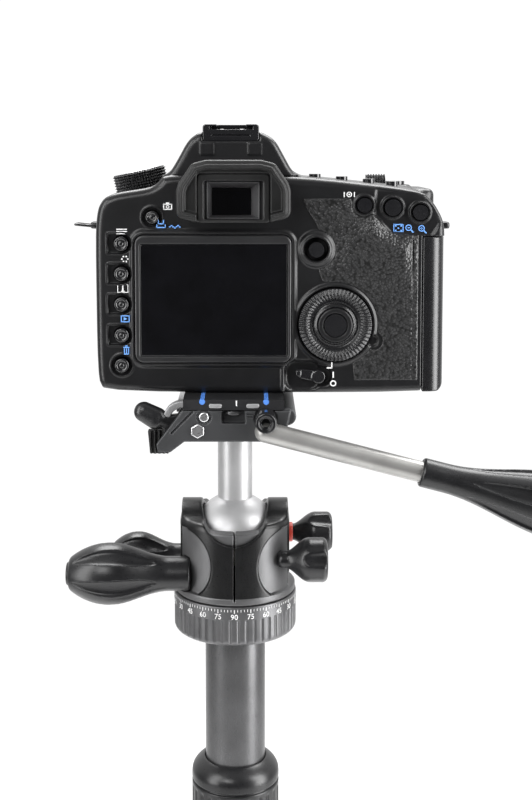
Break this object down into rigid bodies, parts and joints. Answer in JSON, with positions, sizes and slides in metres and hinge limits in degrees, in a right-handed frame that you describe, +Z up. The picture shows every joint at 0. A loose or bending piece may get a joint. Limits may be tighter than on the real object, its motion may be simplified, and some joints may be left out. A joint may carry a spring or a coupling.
{
  "type": "camera on tripod",
  "caption": "Digital single-lens reflex camera with lens, clamped on a ball head with a pan handle, on a compact three-leg tripod with a sliding centre column.",
  "frame": {"origin": "on the floor under the centre column, in the plane of the three feet", "axes": "+Z up the column, +Y the way the lens looks, +X to the right as seen from behind the camera"},
  "size_m": [0.3408, 0.2801, 0.6865],
  "materials": {
    "black_alloy": "satin black anodised",
    "dark_tube": "satin dark grey anodised",
    "grey_alloy": "satin grey anodised",
    "silver_alloy": "satin silver anodised",
    "black_rubber": "matt black",
    "lock_rubber": "matt black, ribbed",
    "nylon": "natural",
    "blue_rubber": "matt blue",
    "cam_shell": "fine black crackle paint",
    "cam_plastic": "fine black grain",
    "button_plastic": "semi-gloss black",
    "bright_steel": "polished",
    "shoe_steel": "satin",
    "screen_glass": "polished black",
    "optics": "coated, polished",
    "mirror_glass": "polished",
    "sensor_board": "matt",
    "lens_shell": "fine black grain"
  },
  "bodies": {
    "tripod": {"spider": "black_alloy"},
    "column": {"column": "dark_tube", "pan_ring": "grey_alloy"},
    "collar": {"collar": "lock_rubber"},
    "leg_1": {"leg_tube_1": "dark_tube"},
    "lock_1": {"leg_lock_1": "lock_rubber"},
    "foot_1": {"leg_inner_1": "dark_tube"},
    "leg_2": {"leg_tube_2": "dark_tube"},
    "lock_2": {"leg_lock_2": "lock_rubber"},
    "foot_2": {"leg_inner_2": "dark_tube"},
    "leg_3": {"leg_tube_3": "dark_tube"},
    "lock_3": {"leg_lock_3": "lock_rubber"},
    "foot_3": {"leg_inner_3": "dark_tube"},
    "head": {"housing": "black_alloy"},
    "brake": {"brake_cup": "nylon"},
    "camera": {"ball_stem": "silver_alloy", "clamp_body": "black_alloy", "plate": "black_alloy", "plate_cords": "blue_rubber", "cam_body": "cam_shell", "cam_rear": "cam_shell", "cam_top": "cam_shell", "lens_mount": "bright_steel", "viewfinder_glass": "optics", "sensor": "sensor_board", "battery": "cam_plastic", "lcd_window": "screen_glass", "eyecup": "black_rubber", "hot_shoe": "shoe_steel", "lens_barrel": "lens_shell", "lens_glass": "optics"},
    "tilt_handle": {"tilt_handle": "black_rubber"},
    "rear_handle": {"rear_handle": "black_rubber"},
    "front_knob": {"front_knob": "black_rubber"},
    "rear_knob": {"rear_knob": "black_rubber"},
    "clamp_lever": {"clamp_lever": "black_rubber"},
    "clamp_jaw": {"clamp_jaw": "grey_alloy"},
    "pan_handle": {"pan_rod": "silver_alloy", "pan_grip": "black_rubber"},
    "left_button_1": {"left_button_1": "button_plastic"},
    "left_button_2": {"left_button_2": "button_plastic"},
    "left_button_3": {"left_button_3": "button_plastic"},
    "left_button_4": {"left_button_4": "button_plastic"},
    "left_button_5": {"left_button_5": "button_plastic"},
    "live_button": {"live_button": "button_plastic"},
    "right_button_1": {"right_button_1": "button_plastic"},
    "right_button_2": {"right_button_2": "button_plastic"},
    "right_button_3": {"right_button_3": "button_plastic"},
    "top_buttons": {"top_buttons": "button_plastic"},
    "shutter_button": {"shutter_button": "button_plastic"},
    "set_button": {"set_button": "button_plastic"},
    "quick_dial": {"quick_dial": "button_plastic"},
    "mode_dial": {"mode_dial": "button_plastic"},
    "main_dial": {"main_dial": "button_plastic"},
    "joystick": {"joystick": "button_plastic"},
    "power_lever": {"power_lever": "button_plastic"},
    "card_door": {"card_door": "cam_plastic"},
    "battery_door": {"battery_door": "cam_plastic"},
    "mirror": {"mirror": "mirror_glass"},
    "focus_ring": {"focus_ring": "black_rubber"}
  },
  "joints": [
    {"name": "column_slide", "type": "slide", "parent": "tripod", "child": "column", "axis": [0, 0, 1], "range_m": [-0.06, 0.14]},
    {"name": "collar_twist", "type": "hinge", "parent": "tripod", "child": "collar", "pos_m": [0, 0, 0.34648], "axis": [0, 0, 1], "range_deg": [-90, 90]},
    {"name": "leg_fold_1", "type": "hinge", "parent": "tripod", "child": "leg_1", "pos_m": [0, 0.034, 0.33418], "axis": [-1, 0, 0], "range_deg": [0, 22]},
    {"name": "lock_twist_1", "type": "hinge", "parent": "leg_1", "child": "lock_1", "pos_m": [0, 0.034, 0.33418], "axis": [0, 0.3907, -0.9205], "range_deg": [-60, 60]},
    {"name": "leg_extend_1", "type": "slide", "parent": "leg_1", "child": "foot_1", "axis": [0, 0.3907, -0.9205], "range_m": [0, 0.19]},
    {"name": "leg_fold_2", "type": "hinge", "parent": "tripod", "child": "leg_2", "pos_m": [-0.02944, -0.017, 0.33418], "axis": [0.5, -0.866, 0], "range_deg": [0, 22]},
    {"name": "lock_twist_2", "type": "hinge", "parent": "leg_2", "child": "lock_2", "pos_m": [-0.02944, -0.017, 0.33418], "axis": [-0.3384, -0.1954, -0.9205], "range_deg": [-60, 60]},
    {"name": "leg_extend_2", "type": "slide", "parent": "leg_2", "child": "foot_2", "axis": [-0.3384, -0.1954, -0.9205], "range_m": [0, 0.19]},
    {"name": "leg_fold_3", "type": "hinge", "parent": "tripod", "child": "leg_3", "pos_m": [0.02944, -0.017, 0.33418], "axis": [0.5, 0.866, 0], "range_deg": [0, 22]},
    {"name": "lock_twist_3", "type": "hinge", "parent": "leg_3", "child": "lock_3", "pos_m": [0.02944, -0.017, 0.33418], "axis": [0.3384, -0.1954, -0.9205], "range_deg": [-60, 60]},
    {"name": "leg_extend_3", "type": "slide", "parent": "leg_3", "child": "foot_3", "axis": [0.3384, -0.1954, -0.9205], "range_m": [0, 0.19]},
    {"name": "pan_turn", "type": "hinge", "parent": "column", "child": "head", "pos_m": [0, 0, 0.47098], "axis": [0, 0, 1], "continuous": true},
    {"name": "ball_tilt", "type": "hinge", "parent": "head", "child": "brake", "pos_m": [0, 0, 0.49648], "axis": [1, 0, 0], "range_deg": [-34, 34]},
    {"name": "ball_roll", "type": "hinge", "parent": "brake", "child": "camera", "pos_m": [0, 0, 0.49648], "axis": [0, 1, 0], "range_deg": [-16, 16]},
    {"name": "tilt_handle_turn", "type": "hinge", "parent": "head", "child": "tilt_handle", "pos_m": [0, -0.014, 0.48198], "axis": [1, 0, 0], "continuous": true},
    {"name": "rear_handle_turn", "type": "hinge", "parent": "head", "child": "rear_handle", "pos_m": [0, 0.014, 0.48048], "axis": [1, 0, 0], "continuous": true},
    {"name": "front_knob_turn", "type": "hinge", "parent": "head", "child": "front_knob", "pos_m": [0, -0.017, 0.48948], "axis": [1, 0, 0], "continuous": true},
    {"name": "rear_knob_turn", "type": "hinge", "parent": "head", "child": "rear_knob", "pos_m": [0, 0.014, 0.49298], "axis": [1, 0, 0], "continuous": true},
    {"name": "lever_flip", "type": "hinge", "parent": "camera", "child": "clamp_lever", "pos_m": [-0.025, 0, 0.55648], "axis": [0, 1, 0], "range_deg": [-70, 0]},
    {"name": "jaw_slide", "type": "slide", "parent": "camera", "child": "clamp_jaw", "axis": [1, 0, 0], "range_m": [-0.002, 0]},
    {"name": "pan_handle_swing", "type": "hinge", "parent": "camera", "child": "pan_handle", "pos_m": [0.0138, -0.054, 0.56158], "axis": [0, 1, 0], "range_deg": [-40, 55]},
    {"name": "left_press_1", "type": "slide", "parent": "camera", "child": "left_button_1", "axis": [0, 1, 0], "range_m": [0, 0.0008], "stiffness_N_per_m": 400},
    {"name": "left_press_2", "type": "slide", "parent": "camera", "child": "left_button_2", "axis": [0, 1, 0], "range_m": [0, 0.0008], "stiffness_N_per_m": 400},
    {"name": "left_press_3", "type": "slide", "parent": "camera", "child": "left_button_3", "axis": [0, 1, 0], "range_m": [0, 0.0008], "stiffness_N_per_m": 400},
    {"name": "left_press_4", "type": "slide", "parent": "camera", "child": "left_button_4", "axis": [0, 1, 0], "range_m": [0, 0.0008], "stiffness_N_per_m": 400},
    {"name": "left_press_5", "type": "slide", "parent": "camera", "child": "left_button_5", "axis": [0, 1, 0], "range_m": [0, 0.0008], "stiffness_N_per_m": 400},
    {"name": "live_press", "type": "slide", "parent": "camera", "child": "live_button", "axis": [0, 1, 0], "range_m": [0, 0.0008], "stiffness_N_per_m": 400},
    {"name": "right_press_1", "type": "slide", "parent": "camera", "child": "right_button_1", "axis": [0, 1, 0], "range_m": [0, 0.0008], "stiffness_N_per_m": 400},
    {"name": "right_press_2", "type": "slide", "parent": "camera", "child": "right_button_2", "axis": [0, 1, 0], "range_m": [0, 0.0008], "stiffness_N_per_m": 400},
    {"name": "right_press_3", "type": "slide", "parent": "camera", "child": "right_button_3", "axis": [0, 1, 0], "range_m": [0, 0.0008], "stiffness_N_per_m": 400},
    {"name": "top_press", "type": "slide", "parent": "camera", "child": "top_buttons", "axis": [0, 0, -1], "range_m": [0, 0.0008], "stiffness_N_per_m": 400},
    {"name": "shutter_press", "type": "slide", "parent": "camera", "child": "shutter_button", "axis": [0, 0, -1], "range_m": [0, 0.0012], "stiffness_N_per_m": 400},
    {"name": "set_press", "type": "slide", "parent": "camera", "child": "set_button", "axis": [0, 1, 0], "range_m": [0, 0.0008], "stiffness_N_per_m": 400},
    {"name": "quick_dial_turn", "type": "hinge", "parent": "camera", "child": "quick_dial", "pos_m": [0.044, -0.035, 0.59998], "axis": [0, 1, 0], "continuous": true},
    {"name": "mode_dial_turn", "type": "hinge", "parent": "camera", "child": "mode_dial", "pos_m": [-0.0412, -0.01, 0.65838], "axis": [-0.2181, 0, 0.9759], "continuous": true},
    {"name": "main_dial_turn", "type": "hinge", "parent": "camera", "child": "main_dial", "pos_m": [0.066, 0.02, 0.65748], "axis": [1, 0, 0], "continuous": true},
    {"name": "joystick_tilt", "type": "hinge", "parent": "camera", "child": "joystick", "pos_m": [0.0357, -0.031, 0.63268], "axis": [1, 0, 0], "range_deg": [-8, 8], "stiffness_Nm_per_rad": 0.05},
    {"name": "power_switch", "type": "hinge", "parent": "camera", "child": "power_lever", "pos_m": [0.0368, -0.035, 0.57718], "axis": [0, 1, 0], "range_deg": [-22, 15]},
    {"name": "card_door_swing", "type": "hinge", "parent": "camera", "child": "card_door", "pos_m": [0.089, 0.0002, 0.60448], "axis": [0, 0, 1], "range_deg": [0, 88]},
    {"name": "battery_door_swing", "type": "hinge", "parent": "camera", "child": "battery_door", "pos_m": [0.088, 0.019, 0.57078], "axis": [0, 1, 0], "range_deg": [-95, 0]},
    {"name": "mirror_flip", "type": "hinge", "parent": "camera", "child": "mirror", "pos_m": [-0.001, -0.0115, 0.64698], "axis": [1, 0, 0], "range_deg": [0, 42]},
    {"name": "focus_turn", "type": "hinge", "parent": "camera", "child": "focus_ring", "pos_m": [-0.001, 0.04, 0.62548], "axis": [0, 1, 0], "continuous": true}
  ],
  "couplings": [
    {"joint": "jaw_slide", "follows": "lever_flip", "m_per_rad": 0.0016}
  ]
}
